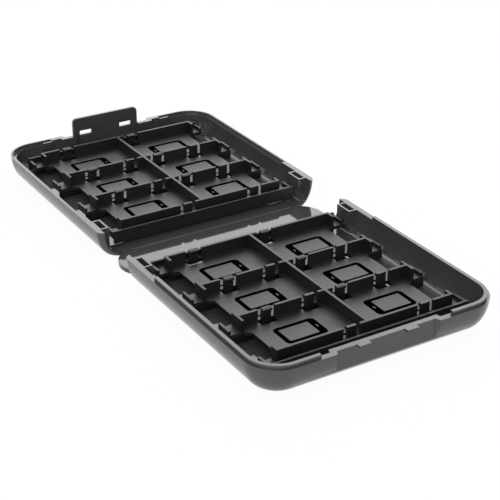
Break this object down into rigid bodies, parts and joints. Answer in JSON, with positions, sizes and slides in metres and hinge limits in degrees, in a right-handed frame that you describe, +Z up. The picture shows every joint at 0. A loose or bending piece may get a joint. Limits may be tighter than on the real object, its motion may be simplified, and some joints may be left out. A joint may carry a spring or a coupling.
{
  "type": "game_card_case",
  "caption": "Slim clamshell case for small game cards: shallow shells hinged on a narrow spine, a slotted latch flap, and card trays with clip fingers.",
  "frame": {"origin": "On the ground under the middle of the open case, below the middle of the spine.", "axes": "X runs along the hinges, Y from the front half to the rear half that carries the latch, Z up out of the open trays."},
  "size_m": [0.0916, 0.2006, 0.0172],
  "materials": {
    "shell_gloss": "mirror-like moulded gloss",
    "tray_satin": "fine satin texture"
  },
  "bodies": {
    "spine": {"spine_panel": "shell_gloss"},
    "front_half": {"front_shell": "shell_gloss", "front_tray": "tray_satin"},
    "rear_half": {"rear_shell": "shell_gloss", "rear_tray": "tray_satin"},
    "latch": {"latch_flap": "shell_gloss"}
  },
  "joints": [
    {"name": "front_hinge", "type": "hinge", "parent": "spine", "child": "front_half", "pos_m": [0, -0.0088, 0.0017], "axis": [-1, 0, 0], "range_deg": [0, 90]},
    {"name": "rear_hinge", "type": "hinge", "parent": "spine", "child": "rear_half", "pos_m": [0, 0.0088, 0.0017], "axis": [1, 0, 0], "range_deg": [0, 90]},
    {"name": "latch_hinge", "type": "hinge", "parent": "rear_half", "child": "latch", "pos_m": [0, 0.09865, 0.00515], "axis": [-1, 0, 0], "range_deg": [0, 60], "stiffness_Nm_per_rad": 0.02}
  ]
}
